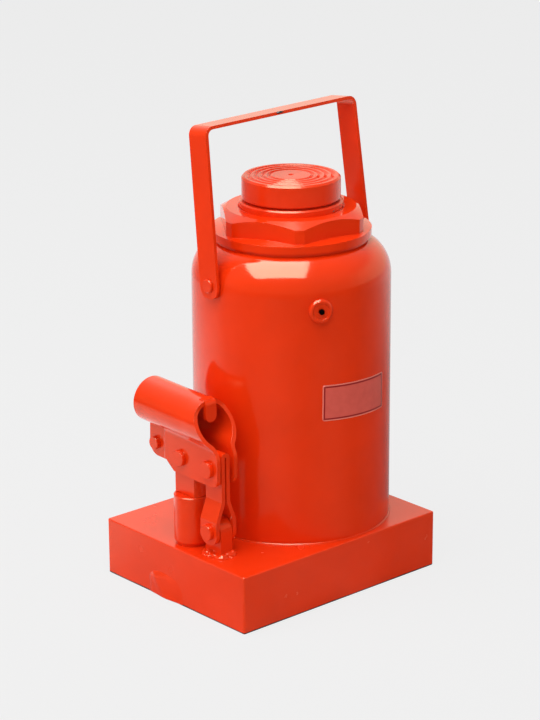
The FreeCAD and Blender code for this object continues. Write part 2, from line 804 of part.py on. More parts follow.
def make_saddle():
    """Load cap with concentric gripping grooves round a flat centre land."""
    low = ram_top_z + saddle_neck_h
    top = low + saddle_height
    outline = [(0, ram_top_z - saddle_stem_length), (saddle_stem_r, ram_top_z - saddle_stem_length),
               (saddle_stem_r, ram_top_z), (saddle_neck_r, ram_top_z), (saddle_neck_r, low),
               (saddle_r - 0.6, low), (saddle_r, low + 0.6), (saddle_r, top - saddle_edge),
               (saddle_r - saddle_edge, top)]
    for k in reversed(range(saddle_groove_count)):
        r = saddle_land_r + k * saddle_groove_pitch
        outline += [(r + saddle_groove_pitch * 0.7, top),
                    (r + saddle_groove_pitch * 0.35, top - saddle_groove_depth), (r, top)]
    outline += [(saddle_dimple_r, top), (0, top - saddle_dimple_r * 0.6)]
    groove = ring(saddle_stem_r - snap_ring_wire / 2, saddle_stem_r + 1.0, snap_ring_z(),
                  snap_ring_z() + snap_ring_wire)
    return turned(outline).cut(groove)


def make_snap_ring():
    """Split wire ring that keeps the saddle's stem in the ram."""
    wire = ring(saddle_stem_r - snap_ring_wire / 2, saddle_stem_r + snap_ring_wire / 2, snap_ring_z(),
                snap_ring_z() + snap_ring_wire)
    gap = Part.makeBox(saddle_stem_r * 2, snap_ring_split, snap_ring_wire * 2,
                       V(0, -snap_ring_split / 2, snap_ring_z() - snap_ring_wire / 2))
    return wire.cut(gap)


def pump_seal_z():
    return pump_top_z - pump_seal_drop - pump_seal_h


def make_pump_cylinder():
    """Pump barrel screwed into the base, with a rounded foot and a seal groove near its mouth."""
    bore = plunger_r + running_gap
    fold = math.sqrt(0.5)
    foot_centre_r = pump_r - pump_foot_r
    foot_centre_z = pump_bottom_z + pump_foot_r
    points = [(bore, shank_bottom_z), (pump_shank_r, shank_bottom_z), (pump_shank_r, pump_bottom_z),
              (foot_centre_r, pump_bottom_z)]
    after = [(pump_r, foot_centre_z), (pump_r, pump_top_z - pump_top_lip), (pump_r - pump_top_lip, pump_top_z),
             (bore, pump_top_z)]
    edges = [Part.makeLine(V(a[0], 0, a[1]), V(b[0], 0, b[1])) for a, b in zip(points, points[1:])]
    edges.append(Part.Arc(V(foot_centre_r, 0, pump_bottom_z),
                          V(foot_centre_r + pump_foot_r * fold, 0, foot_centre_z - pump_foot_r * fold),
                          V(pump_r, 0, foot_centre_z)).toShape())
    edges += [Part.makeLine(V(a[0], 0, a[1]), V(b[0], 0, b[1])) for a, b in zip(after, after[1:])]
    edges.append(Part.makeLine(V(bore, 0, pump_top_z), V(bore, 0, shank_bottom_z)))
    barrel = Part.Face(Part.Wire(edges)).revolve(V(0, 0, 0), V(0, 0, 1), 360)
    barrel.translate(V(0, pump_y, 0))
    groove = cylinder(bore + pump_seal_w, pump_seal_z(), pump_seal_z() + pump_seal_h, 0, pump_y)
    return barrel.cut(groove)


def make_pump_gasket():
    return ring(pump_shank_r + thread_gap, pump_gasket_r, base_height, pump_bottom_z, 0, pump_y)


def make_pump_seal():
    bore = plunger_r + running_gap
    return ring(bore, bore + pump_seal_w, pump_seal_z(), pump_seal_z() + pump_seal_h, 0, pump_y)


def make_plunger():
    """Pump plunger: a ground rod under a round head milled to a flat tang."""
    tip = shank_bottom_z + plunger_tip_gap
    head_low = pump_top_z + side_gap
    rod = cylinder(plunger_r, tip, head_low, 0, pump_y)
    nose = [e for e in rod.Edges if e.BoundBox.ZMax < tip + 1e-6]
    rod = rod.makeChamfer(0.8, nose)
    wide = plunger_head_r
    head = cylinder(wide, head_low, plunger_pin_z + wide, 0, pump_y)
    half = tang_thickness / 2
    corners = [(-wide, head_low, 0), (wide, head_low, 0),
               (wide, plunger_pin_z + wide, wide * 0.98), (-wide, plunger_pin_z + wide, wide * 0.98)]
    outline = Part.Face(rounded(corners, on_xz(pump_y - half))).extrude(V(0, tang_thickness, 0))
    eye = cylinder_y(pin_r + closing_gap, pump_y - half, pump_y + half, 0, plunger_pin_z)
    return head.common(outline).cut(eye).fuse(rod)


def make_link():
    """Link folded from one strip: legs together at the top, set apart at the foot to straddle the lug."""
    low_leg = lug_thickness / 2 + link_lug_gap + sheet / 2
    high_leg = (link_fold_gap + sheet) / 2
    top = top_pin_z + link_top_over_pin - sheet / 2
    foot = lug_pin_z - link_end_under_pin
    bend_low, bend_high = lug_pin_z + link_bend_low, lug_pin_z + link_bend_high
    path = [(-low_leg, foot), (-low_leg, bend_low), (-high_leg, bend_high), (-high_leg, top),
            (high_leg, top), (high_leg, bend_high), (low_leg, bend_low), (low_leg, foot)]
    fold_r = high_leg * 0.98
    radii = [link_bend_r, link_bend_r, fold_r, fold_r, link_bend_r, link_bend_r]
    x0 = lug_pin_x - link_width / 2
    middle_y = pump_y - link_side_shift
    strip = bent_strip(path, radii, sheet, lambda u, v: V(x0, middle_y + u, v), V(link_width, 0, 0))
    half = link_width / 2
    corners = [(lug_pin_x - half, foot, half * 0.9), (lug_pin_x + half, foot, half * 0.9),
               (lug_pin_x + half, top + sheet, 0), (lug_pin_x - half, top + sheet, 0)]
    reach = low_leg + 2 * sheet
    outline = Part.Face(rounded(corners, on_xz(pump_y - reach))).extrude(V(0, 2 * reach, 0))
    holes = [cylinder_y(pin_r, pump_y - reach, pump_y + reach, lug_pin_x, lug_pin_z),
             cylinder_y(pin_r + running_gap, pump_y - reach, pump_y + reach, lug_pin_x, top_pin_z)]
    return strip.common(outline).cut(holes)


def make_lug():
    """Upright lug with a rounded head, the fixed point of the lever."""
    half = lug_length / 2
    top = lug_pin_z + half
    corners = [(lug_pin_x - half, base_height, 0), (lug_pin_x + half, base_height, 0),
               (lug_pin_x + half, top, half * 0.96), (lug_pin_x - half, top, half * 0.96)]
    y0 = pump_y - lug_thickness / 2
    lug = Part.Face(rounded(corners, on_xz(y0))).extrude(V(0, lug_thickness, 0))
    return lug.cut(cylinder_y(pin_r + running_gap, y0, y0 + lug_thickness, lug_pin_x, lug_pin_z))


def make_lug_weld():
    """Fillet weld all round the foot of the lug."""
    leg = lug_weld_leg
    x0 = lug_pin_x - lug_length / 2
    y0 = pump_y - lug_thickness / 2
    bead = Part.makeBox(lug_length + 2 * leg, lug_thickness + 2 * leg, leg, V(x0 - leg, y0 - leg, base_height))
    upright = [e for e in bead.Edges if e.BoundBox.ZLength > leg / 2]
    bead = bead.makeFillet(leg * 0.9, upright)
    rim = [e for e in bead.Edges if e.BoundBox.ZMin > base_height + leg - 1e-6]
    bead = bead.makeChamfer(leg * 0.85, rim)
    return bead.cut(Part.makeBox(lug_length, lug_thickness, leg, V(x0, y0, base_height)))


def keyhole(radius, half, x):
    """Section of the pressed sheet: a rolled tube whose walls run out through a neck into two flanges."""
    zc = tube_over_pins
    neck_y = half + neck_r
    drop = math.sqrt((radius + neck_r) ** 2 - neck_y ** 2)
    neck_z = zc - drop
    turn = math.atan2(drop, neck_y)

    def p(y, z):
        return V(x, pump_y + y, top_pin_z + z)

    def outline(wall, arc_r, tube):
        """Edges from one flange's foot over the tube to the other's, for one skin of the sheet."""
        touch_y, touch_z = tube * math.cos(turn), zc - tube * math.sin(turn)
        bend_y, bend_z = neck_y - arc_r * math.cos(turn / 2), neck_z + arc_r * math.sin(turn / 2)
        return [Part.makeLine(p(-wall, flange_bottom), p(-wall, neck_z)),
                Part.Arc(p(-wall, neck_z), p(-bend_y, bend_z), p(-touch_y, touch_z)).toShape(),
                Part.Arc(p(-touch_y, touch_z), p(0, zc + tube), p(touch_y, touch_z)).toShape(),
                Part.Arc(p(touch_y, touch_z), p(bend_y, bend_z), p(wall, neck_z)).toShape(),
                Part.makeLine(p(wall, neck_z), p(wall, flange_bottom))]

    outer = outline(half, neck_r, radius)
    inner = outline(half - sheet, neck_r + sheet, radius - sheet)
    feet = [Part.makeLine(p(side * half, flange_bottom), p(side * (half - sheet), flange_bottom))
            for side in (-1, 1)]
    return Part.Wire(Part.__sortEdges__(outer + inner + feet))


def flange_outer_at(x):
    """Half width over the flanges, which draw in slightly beyond the crease."""
    end_x = lever_arm + flange_end
    share = max(0.0, (x - crease_x) / (end_x - crease_x))
    return flange_outer - flange_pinch * share


def socket_tilt(shape):
    """Turn a lever piece to its rest position about the link's top pin."""
    shape.rotate(V(lug_pin_x, pump_y, top_pin_z), V(0, 1, 0), socket_tilt_deg)
    return shape


def make_socket():
    """Lever socket pressed from one sheet: rolled tube, pinched ear, joggled flanges and a stop tab."""
    zc = top_pin_z + tube_over_pins
    bore = tube_r - sheet
    end_x = lever_arm + flange_end
    barrel = cylinder_x(tube_r, mouth_x, joggle_end, pump_y, zc)
    barrel = barrel.cut(cylinder_x(bore, mouth_x, joggle_end, pump_y, zc))
    seam = Part.makeBox(joggle_end - mouth_x, seam_gap, tube_r, V(mouth_x, pump_y - seam_gap / 2, zc - tube_r))
    barrel = barrel.cut(seam)
    middle = Part.Face(keyhole(tube_r, flange_outer, joggle_end)).extrude(V(crease_x - joggle_end, 0, 0))
    rear = Part.makeLoft([keyhole(tube_r, flange_outer, crease_x),
                          keyhole(tube_r + flare, flange_outer - flange_pinch, end_x)], True, True)
    low = top_pin_z + flange_bottom
    plates = []
    near = (seam_gap + sheet) / 2
    far = flange_outer - sheet / 2
    for side in (-1, 1):
        path = [(ear_left, side * near), (joggle_start, side * near), (joggle_end, side * far),
                (joggle_end + sheet, side * far)]
        plates.append(bent_strip(path, [sheet, sheet], sheet, lambda u, v: V(u, pump_y + v, low),
                                 V(0, 0, zc - bore * 0.7 - low)))
    plates = [plate.cut(cylinder_x(bore, ear_left - 1, end_x, pump_y, zc)) for plate in plates]
    high = zc + 2 * tube_r
    under = zc - tube_r - 0.5
    corners = [(mouth_x, high, 0), (mouth_x, under, 0), (ear_left, under, 0),
               (ear_left, top_pin_z + ear_bottom, ear_corner_r), (joggle_start, top_pin_z + ear_bottom, 0),
               (joggle_end + 1, top_pin_z + ear_bottom + 4.2, 0), (-7.2, low, 2.0),
               (end_x, low, flange_corner_r), (end_x, top_pin_z + end_cut_low, end_cut_low_r),
               (tube_top_end, top_pin_z + end_cut_high, end_cut_high_r), (tube_top_end, high, 0)]
    reach = 2 * tube_r
    outline = Part.Face(rounded(corners, on_xz(pump_y - reach))).extrude(V(0, 2 * reach, 0))
    sheet_metal = barrel.fuse([middle, rear] + plates).common(outline)
    share = (tube_top_end - crease_x) / (end_x - crease_x)
    roof = zc + tube_r + flare * share - sheet / 2
    tab_x = tube_top_end + 0.6
    tab_path = [(tube_top_end - 5.0, roof), (tab_x, roof), (tab_x + 0.4, roof + sheet / 2 - tab_length)]
    half_tab = tab_width / 2
    tab = bent_strip(tab_path, [tab_bend_r], sheet, on_xz(pump_y - half_tab), V(0, tab_width, 0))
    foot = roof + sheet / 2 - tab_length
    tip = [(-half_tab, foot, half_tab * 0.95), (half_tab, foot, half_tab * 0.95), (half_tab, high, 0),
           (-half_tab, high, 0)]
    tab_face = Part.Face(rounded(tip, lambda u, v: V(tube_top_end - 10, pump_y + u, v)))
    tab = tab.common(tab_face.extrude(V(20, 0, 0)))
    holes = [cylinder_y(pin_r, pump_y - reach, pump_y + reach, x, top_pin_z) for x in (0.0, lug_pin_x)]
    holes.append(cylinder_y(ear_rivet_r(), pump_y - reach, pump_y + reach, -ear_rivet_from_pump, top_pin_z))
    return socket_tilt(sheet_metal.fuse(tab).cut(holes).removeSplitter())


def ear_rivet_r():
    return ear_rivet_head_r * 0.68


def make_ear_rivet():
    return socket_tilt(rivet(-ear_rivet_from_pump, top_pin_z, pump_y, seam_gap / 2 + sheet,
                             ear_rivet_r(), ear_rivet_head_r))


def make_plunger_pin():
    return socket_tilt(rivet(0.0, top_pin_z, pump_y, flange_outer, pin_r, pin_head_r))


def make_top_pin():
    span = flange_outer_at(lug_pin_x - pin_head_r)
    return socket_tilt(rivet(lug_pin_x, top_pin_z, pump_y, span, pin_r, pin_head_r + 0.4))


def make_bottom_pin():
    """Pin through the lug, headed in front and peened over a tapered tail behind."""
    span = lug_thickness / 2 + link_lug_gap + sheet
    middle_y = pump_y - link_side_shift
    pin = rivet(lug_pin_x, lug_pin_z, middle_y, span, pin_r, pin_head_r)
    tail = Part.makeCone(pin_head_r - pin_head_chamfer, pin_tail_r, pin_tail_h - pin_head_h,
                         V(lug_pin_x, middle_y + span + pin_head_h, lug_pin_z), V(0, 1, 0))
    return pin.fuse(tail).removeSplitter()


def bail_leg_y(side, rise):
    """Where the middle of a leg's thickness runs: side is -1 by the pump and 1 behind."""
    splay = bail_near_splay if side < 0 else bail_far_splay
    return side * (tank_r + bail_side_gap + bail_strip_t / 2 - splay * rise) - bail_side_shift


def make_bail():
    """Carrying bail bent from flat strip, leaning as it was left."""
    top = bail_rise - bail_strip_t / 2
    far_top = top + bail_far_extra
    path = [(bail_leg_y(-1, -bail_tail), -bail_tail), (bail_leg_y(-1, top), top),
            (bail_leg_y(1, far_top), far_top), (bail_leg_y(1, -bail_tail), -bail_tail)]
    half = bail_strip_w / 2
    strip = bent_strip(path, [bail_bend_r, bail_bend_r], bail_strip_t, on_yz(-half), V(bail_strip_w, 0, 0))
    corners = [(-half, -bail_tail, half * 0.9), (half, -bail_tail, half * 0.9), (half, 2 * bail_rise, 0),
               (-half, 2 * bail_rise, 0)]
    reach = 2 * tank_r
    outline = Part.Face(rounded(corners, on_xz(-reach))).extrude(V(0, 2 * reach, 0))
    bail = strip.common(outline).cut(cylinder_y(stud_r + running_gap, -reach, reach, 0, 0))
    bail.rotate(V(0, 0, 0), V(0, 1, 0), -bail_lean_deg)
    bail.translate(V(bail_pivot_x, 0, bail_pivot_z))
    return bail


def make_bail_studs():
    """Two headed studs welded to the tank wall, the bail's pivots."""
    clear = bail_near_splay * stud_head_r + running_gap
    inside = bail_strip_t / 2 + clear - bail_leg_y(-1, 0)
    shoulder = Part.makeTorus(tank_r - shoulder_r, shoulder_r, V(0, 0, tank_top_z - shoulder_r))
    studs = []
    for side in (-1, 1):
        shank = Part.makeCylinder(stud_r, inside - tank_r + tank_wall / 2,
                                  V(bail_pivot_x, side * (tank_r - tank_wall / 2), bail_pivot_z), V(0, side, 0))
        head = Part.makeCylinder(stud_head_r, stud_head_h, V(bail_pivot_x, side * inside, bail_pivot_z),
                                 V(0, side, 0))
        face_y = inside + stud_head_h
        rim = [e for e in head.Edges if abs(abs(e.CenterOfMass.y) - face_y) < 1e-3
               and e.BoundBox.YLength < 1e-6]
        head = head.makeChamfer(stud_head_h * 0.35, rim)
        low_part = cylinder(tank_r, bail_pivot_z - 20, tank_top_z - shoulder_r)
        dome = shoulder.common(Part.makeBox(4 * tank_r, 4 * tank_r, shoulder_r,
                                            V(-2 * tank_r, -2 * tank_r, tank_top_z - shoulder_r)))
        studs.append(shank.cut([low_part, dome]).fuse(head).removeSplitter())
    return Part.makeCompound(studs)


PIECES = {
    "base_plate": make_base,
    "gallery_plugs": make_gallery_plugs,
    "gallery_weld": make_gallery_weld,
    "suction_valve_ball": make_suction_ball,
    "discharge_valve_ball": make_discharge_ball,
    "discharge_valve_spring": make_discharge_spring,
    "discharge_valve_plug": make_discharge_plug,
    "release_valve_screw": make_release_screw,
    "release_valve_ball": make_release_ball,
    "release_valve_seal": make_release_seal,
    "safety_valve_ball": make_safety_ball,
    "safety_valve_spring": make_safety_spring,
    "safety_valve_screw": make_safety_screw,
    "safety_valve_cap": make_safety_cap,
    "oil_strainer": make_strainer,
    "reservoir_tank": make_tank,
    "tank_weld": make_tank_weld,
    "tank_gasket": make_tank_gasket,
    "filler_plug": make_filler_plug,
    "pressure_cylinder": make_pressure_cylinder,
    "cylinder_gasket": make_cylinder_gasket,
    "gland_nut": make_gland_nut,
    "gland_seal": make_gland_seal,
    "wiper_ring": make_wiper,
    "ram": make_ram,
    "piston_seal": make_piston_seal,
    "piston_guide_ring": make_guide_ring,
    "saddle": make_saddle,
    "saddle_snap_ring": make_snap_ring,
    "pump_cylinder": make_pump_cylinder,
    "pump_gasket": make_pump_gasket,
    "pump_seal": make_pump_seal,
    "pump_plunger": make_plunger,
    "handle_socket": make_socket,
    "socket_rivet": make_ear_rivet,
    "plunger_pin": make_plunger_pin,
    "link_top_pin": make_top_pin,
    "link_strap": make_link,
    "link_bottom_pin": make_bottom_pin,
    "link_lug": make_lug,
    "lug_weld": make_lug_weld,
    "bail_handle": make_bail,
    "bail_pivot_studs": make_bail_studs,
}

os.makedirs("parts", exist_ok=True)
for name, make in PIECES.items():
    make().exportStep(os.path.join("parts", name + ".step"))
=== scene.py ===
"""Looks of the hydraulic bottle jack: glossy red enamel over steel, in a pale studio.

Lengths are metres in the frame of the solids: +Z up along the ram, -Y towards the pump.
"""

import math
import random

import bmesh
import bpy
from mathutils import Matrix, Vector, noise


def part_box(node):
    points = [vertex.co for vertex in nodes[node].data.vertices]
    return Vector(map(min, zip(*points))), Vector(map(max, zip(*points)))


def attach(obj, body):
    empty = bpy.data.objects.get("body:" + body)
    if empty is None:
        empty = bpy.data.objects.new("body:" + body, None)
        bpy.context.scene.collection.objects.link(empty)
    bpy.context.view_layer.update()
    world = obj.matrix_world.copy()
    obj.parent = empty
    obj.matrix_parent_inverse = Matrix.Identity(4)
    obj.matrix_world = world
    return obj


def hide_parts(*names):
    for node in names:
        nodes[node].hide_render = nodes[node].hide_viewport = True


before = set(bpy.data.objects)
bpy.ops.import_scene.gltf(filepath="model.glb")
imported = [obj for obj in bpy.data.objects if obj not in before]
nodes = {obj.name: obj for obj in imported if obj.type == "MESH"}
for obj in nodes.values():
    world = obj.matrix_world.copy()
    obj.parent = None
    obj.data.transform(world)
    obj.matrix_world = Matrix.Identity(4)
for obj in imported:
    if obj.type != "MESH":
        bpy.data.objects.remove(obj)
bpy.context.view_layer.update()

# Camera, fitted to the photograph's outline
IMAGE_HEIGHT_PX = 720
FOCAL_PX = 2467.14
CAMERA_AZ = 48.36
CAMERA_EL = 18.16
CAMERA_ROLL = -0.31
CAMERA_DISTANCE = 1.74909
AIM_SIDE = -0.01523
AIM_HEIGHT = 0.15403

# Light levels: radiances, where 1 is white
BACKDROP = 0.863
AMBIENT = 0.42
KEY_RADIANCE = 4.0
KEY_GLINT = 11.0
GLINT_TINT = (1.0, 1.0, 1.15)
KEY_CENTRE = (-0.025, -0.51, 1.68)
KEY_WIDTH = 1.46
KEY_DEPTH = 1.70
KEY_SLOPE = 0.589
GLINT_BELOW_KEY = 0.01
FILL_RADIANCE = 1.3
FILL_CENTRE = (-1.15, -1.55, 0.75)
FILL_SIZE = 1.3
FILL_AIM = (0.0, -0.05, 0.08)

# What the paint mirrors, as radiances by azimuth in degrees: the floor near the object, the floor far
# from it, and the surround just above the horizon; then the surround higher up
FLOOR_MIRRORED = ((-180, 0.22), (-150, 0.50), (-110, 0.75), (-77, 1.20), (-44, 1.20), (-30, 0.55),
                  (-3, 0.22), (29, 0.30), (60, 0.10), (92, 0.20), (115, 0.07), (128, 0.09), (150, 0.14),
                  (180, 0.22))
FLOOR_DISTANT = ((-180, 0.86), (-110, 0.86), (-85, 0.30), (-41, 0.12), (92, 0.06), (128, 0.05),
                 (150, 0.35), (180, 0.86))
HORIZON_MIRRORED = ((-180, 0.95), (-118, 0.95), (-85, 0.35), (-41, 0.25), (115, 0.25), (135, 0.60),
                    (155, 0.95), (180, 0.95))
ZENITH_MIRRORED = ((-180, 0.45), (-145, 0.90), (-115, 1.40), (-88, 0.80), (-50, 0.32), (140, 0.32),
                   (180, 0.45))
NEUTRAL = (1.0, 1.0, 1.0)
HORIZON_TINT = (1.0, 1.0, 0.82)

# Distances from the axis between which the near floor passes into the far one, and sines of the heights
# between which the horizon passes into the zenith
FLOOR_NEAR = 0.45
FLOOR_FAR = 0.95
HORIZON_SINE = 0.34
ZENITH_SINE = 0.52

# Floor: its half width, its grey for bounced light, the grey that keeps the shadow, and its own glow
FLOOR_HALF = 6.0
FLOOR_BOUNCE = (0.78, 0.78, 0.78, 1.0)
FLOOR_SHADOW = (0.05, 0.05, 0.05, 1.0)
FLOOR_GLOW = BACKDROP - 0.055

# Enamel, the metal that shows below its edge, the dark metal band painted as contact shadow along the base's
# foot, and how far up the foot that band runs
ENAMEL = (0.80, 0.034, 0.003)
ENAMEL_DEEP = 0.94
ENAMEL_BRIGHT = 1.05
ENAMEL_IOR = 1.5
ENAMEL_MIRROR_TINT = (1.0, 1.0, 0.62)
GROUND_STEEL = (0.68, 0.69, 0.70)
FOOT_SHADOW_STEEL = (0.06, 0.06, 0.065)
FOOT_SHADOW_HEIGHT = 0.0012
PAINT_EDGE_WAVER = 0.0002
PAINT_EDGE_SOFT = 0.0001
NUT_MOUTH_BARE = 0.0004
GROUND_STEEL_SATIN = 0.18

# Fineness of the surface patterns, as noise scales: drifting colour, drifting gloss, the hammered metal
# below, the weld's grit, and orange peel; then the mottle of bare metal and its turning marks
DRIFT_SCALE = 22.0
GLOSS_SCALE = 60.0
WAVE_SCALE = 70.0
GRIT_SCALE = 420.0
PEEL_SCALE = 900.0
METAL_SCALE = 300.0
TURNING_SCALE = 1500.0
TURNING_DEPTH = 0.000008

# Tank and label: azimuths and heights of the label's corners, left and right, along its top and its foot
TANK_R = 0.070
LABEL_TOP = ((-24.4, 0.1572), (22.1, 0.1555))
LABEL_FOOT = ((-24.7, 0.1315), (22.3, 0.1294))
LABEL_LIFT = 0.00016
LABEL_THICK = 0.00012
LABEL_SIZE = (0.0572, 0.0259)
LABEL_CORNER_R = 0.0016
LABEL_LINE = (0.0008, 0.0020)
LABEL_LINE_SOFT = 0.0002
LABEL_LINE_INK = (0.30, 0.0, 0.0)
LABEL_RIM = 0.0009
LABEL_RIM_PALE = (0.84, 0.27, 0.20)
LABEL_FILM = ((0.62, 0.072, 0.048), (0.76, 0.11, 0.075))

# Weld round the lug's foot, and the drops of spatter on it
BEAD_WIDTH = 0.0036
BEAD_HEIGHT = 0.0029
BEAD_UNEVEN = 0.0019
BEAD_WAVES = 320.0
BEAD_SUNK = 0.0002
BEAD_INSIDE = 0.0006
SPATTER_DROPS = 22
SPATTER_AWAY = (0.0008, 0.0040)
SPATTER_R = (0.0007, 0.0020)

# Ground weld on the base's front face: outline heights along X, and its ridge from top to bottom
GROUND_WELD_TOP = ((-0.0273, 0.0125), (-0.0258, 0.0152), (-0.0225, 0.0172), (-0.0150, 0.0188),
                   (-0.0070, 0.0184), (0.0, 0.0170), (0.0046, 0.0148), (0.0072, 0.0112), (0.0093, 0.0030))
GROUND_WELD_RIDGE = (-0.0222, -0.0068)
GROUND_WELD_PROUD = 0.0017
GROUND_WELD_HOLLOW = 1.15
GROUND_WELD_FOOT = 0.0007
GROUND_WELD_HEIGHT = 0.018
GROUND_WELD_RIPPLE = 0.11
GROUND_WELD_LIFT = 0.00002
GROUND_WELD_DEPTH = 0.0003
GROUND_WELD_RIM = 3.5

# Filler plug's blind core, darkened by a near-black disc at its bottom as painted shade
PLUG_AZIMUTH = -25.8
PLUG_HEIGHT = 0.2109
PLUG_FACE = 0.07577
CORE_R = 0.0019
CORE_SUNK = 0.0021
CORE_THICK = 0.0004

# Paint chips: name, body, centre, outward normal, length along Y, and height
CHIPS = (
    ("chip_bail_edge", "bail", (-0.00698, -0.0042, 0.33235), (0.993, 0.0, 0.119), 0.0078, 0.0019),
    ("chip_bail_top", "bail", (-0.0219, -0.0605, 0.33042), (-0.119, -0.02, 0.993), 0.0010, 0.0008),
    ("chip_ram_edge", "ram", (0.03545, 0.0074, 0.2683), (0.979, 0.204, 0.0), 0.0018, 0.0012),
)
CHIP_CORNERS = 18
CHIP_LIFTS = (-0.0001, 0.00004)


def azimuth_direction(azimuth):
    """Level direction of an azimuth in degrees: 0 is -Y, 90 is +X."""
    angle = math.radians(azimuth)
    return Vector((math.sin(angle), -math.cos(angle), 0.0))


def make_camera():
    """Camera at the photograph's place, level apart from a small roll."""
    level = azimuth_direction(CAMERA_AZ)
    tilt = math.radians(CAMERA_EL)
    back = level * math.cos(tilt) + Vector((0.0, 0.0, math.sin(tilt)))
    right = Vector((math.cos(math.radians(CAMERA_AZ)), math.sin(math.radians(CAMERA_AZ)), 0.0))
    up = back.cross(right)
    roll = math.radians(CAMERA_ROLL)
    right_rolled = right * math.cos(roll) + up * math.sin(roll)
    up_rolled = back.cross(right_rolled)
    target = Vector((0.0, 0.0, AIM_HEIGHT)) + right * AIM_SIDE
    data = bpy.data.cameras.new("camera")
    data.sensor_width = 36.0
    data.lens = FOCAL_PX / IMAGE_HEIGHT_PX * data.sensor_width
    data.clip_start = 0.05
    data.clip_end = 50.0
    camera = bpy.data.objects.new("camera", data)
    turn = Matrix((right_rolled, up_rolled, back)).transposed()
    camera.matrix_world = Matrix.Translation(target + back * CAMERA_DISTANCE) @ turn.to_4x4()
    bpy.context.scene.collection.objects.link(camera)
    bpy.context.scene.camera = camera


def area_light(name, centre, side, facing, width, depth, radiance):
    """Rectangular lamp at a centre, its width along side, shining along facing."""
    data = bpy.data.lights.new(name, "AREA")
    data.shape = "RECTANGLE"
    data.size = width
    data.size_y = depth
    data.energy = radiance * math.pi * width * depth
    lamp = bpy.data.objects.new(name, data)
    z_axis = -facing.normalized()
    x_axis = (side - z_axis * side.dot(z_axis)).normalized()
    y_axis = z_axis.cross(x_axis)
    turn = Matrix((x_axis, y_axis, z_axis)).transposed()
    lamp.matrix_world = Matrix.Translation(Vector(centre)) @ turn.to_4x4()
    bpy.context.scene.collection.objects.link(lamp)
    return lamp


def make_lights():
    """One large softbox overhead in front, and a weak fill from the pump's side.

    The softbox is two lamps: one lights the object, and the other shows only in its gloss.
    """
    towards = azimuth_direction(CAMERA_AZ)
    side = Vector((-towards.y, towards.x, 0.0))
    down = -(towards * KEY_SLOPE + Vector((0.0, 0.0, 1.0)))
    key = area_light("key_softbox", KEY_CENTRE, side, down, KEY_WIDTH, KEY_DEPTH, KEY_RADIANCE)
    key.visible_glossy = False
    below = Vector(KEY_CENTRE) + down.normalized() * GLINT_BELOW_KEY
    glint = area_light("key_glint", below, side, down, KEY_WIDTH, KEY_DEPTH, KEY_GLINT)
    glint.data.color = GLINT_TINT
    glint.visible_diffuse = False
    centre = Vector(FILL_CENTRE)
    aim = Vector(FILL_AIM) - centre
    fill = area_light("fill_card", centre, Vector((-aim.y, aim.x, 0.0)), aim, FILL_SIZE, FILL_SIZE,
                      FILL_RADIANCE)
    fill.visible_glossy = False


def link_nodes(tree, source, socket, target, target_socket):
    tree.links.new(source.outputs[socket], target.inputs[target_socket])


def ramp_node(tree, stops, tint):
    """Ramp through the given places and levels of one tint."""
    ramp = tree.nodes.new("ShaderNodeValToRGB")
    elements = ramp.color_ramp.elements
    for place, level in stops[1:-1]:
        elements.new(place).color = (*(level * part for part in tint), 1.0)
    for element, (place, level) in ((elements[0], stops[0]), (elements[-1], stops[-1])):
        element.color = (*(level * part for part in tint), 1.0)
    return ramp


def by_azimuth(tree, source, socket, stops, tint=NEUTRAL):
    """Ramp read at the azimuth of a direction or a place."""
    parts = tree.nodes.new("ShaderNodeSeparateXYZ")
    link_nodes(tree, source, socket, parts, "Vector")
    away = tree.nodes.new("ShaderNodeMath")
    away.operation = "MULTIPLY"
    away.inputs[1].default_value = -1.0
    link_nodes(tree, parts, "Y", away, 0)
    azimuth = tree.nodes.new("ShaderNodeMath")
    azimuth.operation = "ARCTAN2"
    link_nodes(tree, parts, "X", azimuth, 0)
    link_nodes(tree, away, 0, azimuth, 1)
    turn = tree.nodes.new("ShaderNodeMapRange")
    turn.inputs["From Min"].default_value = -math.pi
    turn.inputs["From Max"].default_value = math.pi
    link_nodes(tree, azimuth, 0, turn, "Value")
    ramp = ramp_node(tree, [((degrees + 180) / 360, level) for degrees, level in stops], tint)
    link_nodes(tree, turn, "Result", ramp, "Fac")
    return ramp


def blend(tree, source, socket, low, high, first, second):
    """Colour that passes from the first ramp to the second as a value goes from low to high."""
    share = tree.nodes.new("ShaderNodeMapRange")
    share.inputs["From Min"].default_value = low
    share.inputs["From Max"].default_value = high
    link_nodes(tree, source, socket, share, "Value")
    mix = tree.nodes.new("ShaderNodeMix")
    mix.data_type = "RGBA"
    link_nodes(tree, share, "Result", mix, 0)
    link_nodes(tree, first, 0, mix, 6)
    link_nodes(tree, second, 0, mix, 7)
    return mix


def grey(tree, level):
    shade = tree.nodes.new("ShaderNodeRGB")
    shade.outputs[0].default_value = (level, level, level, 1.0)
    return shade


def pick(tree, path, ray, other, other_socket, chosen, chosen_socket):
    """Colour that changes to the chosen one for one kind of ray."""
    choice = tree.nodes.new("ShaderNodeMix")
    choice.data_type = "RGBA"
    link_nodes(tree, path, ray, choice, 0)
    link_nodes(tree, other, other_socket, choice, 6)
    link_nodes(tree, chosen, chosen_socket, choice, 7)
    return choice


